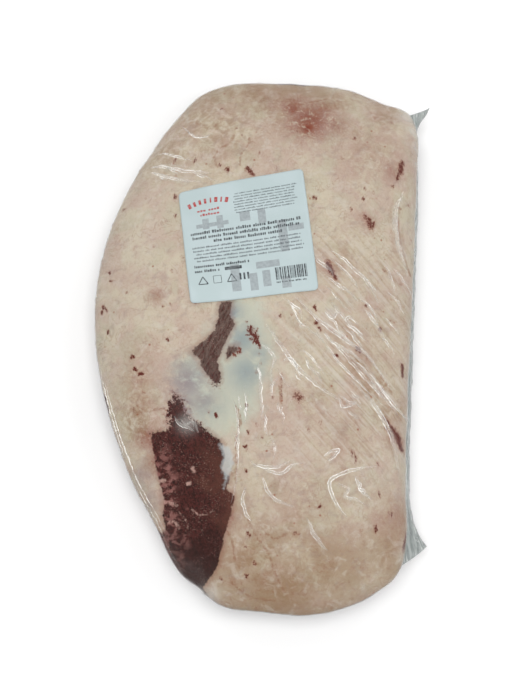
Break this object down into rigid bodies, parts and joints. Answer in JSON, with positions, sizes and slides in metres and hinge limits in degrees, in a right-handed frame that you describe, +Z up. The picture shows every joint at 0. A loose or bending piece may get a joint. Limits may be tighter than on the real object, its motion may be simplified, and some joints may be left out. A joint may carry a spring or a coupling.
{
  "type": "vacuum-packed raw beef brisket",
  "caption": "Whole raw beef brisket, fat side up, in a clear vacuum bag that clings to it, with a sealed edge down one side and a square paper sticker.",
  "frame": {"origin": "on the ground plane, under the middle of the pack's box with the ears and the sticker included", "axes": "+Y along the brisket's long side towards the end the sticker is nearer to, +X towards the bag's sealed edge, +Z up out of the fat cap"},
  "size_m": [0.2792, 0.4432, 0.0638],
  "materials": {
    "bag_film": "clear, glossy, finely creased",
    "beef_fat": "moist, mottled cream and pinkish fat",
    "beef_lean": "moist, grained dark red muscle",
    "label_paper": "smooth coated white",
    "print_grey": "flat pale grey print",
    "print_dark": "flat near-black print",
    "print_red": "flat red print"
  },
  "bodies": {
    "root": {"vacuum_bag": "bag_film", "label": "label_paper"}
  },
  "joints": []
}
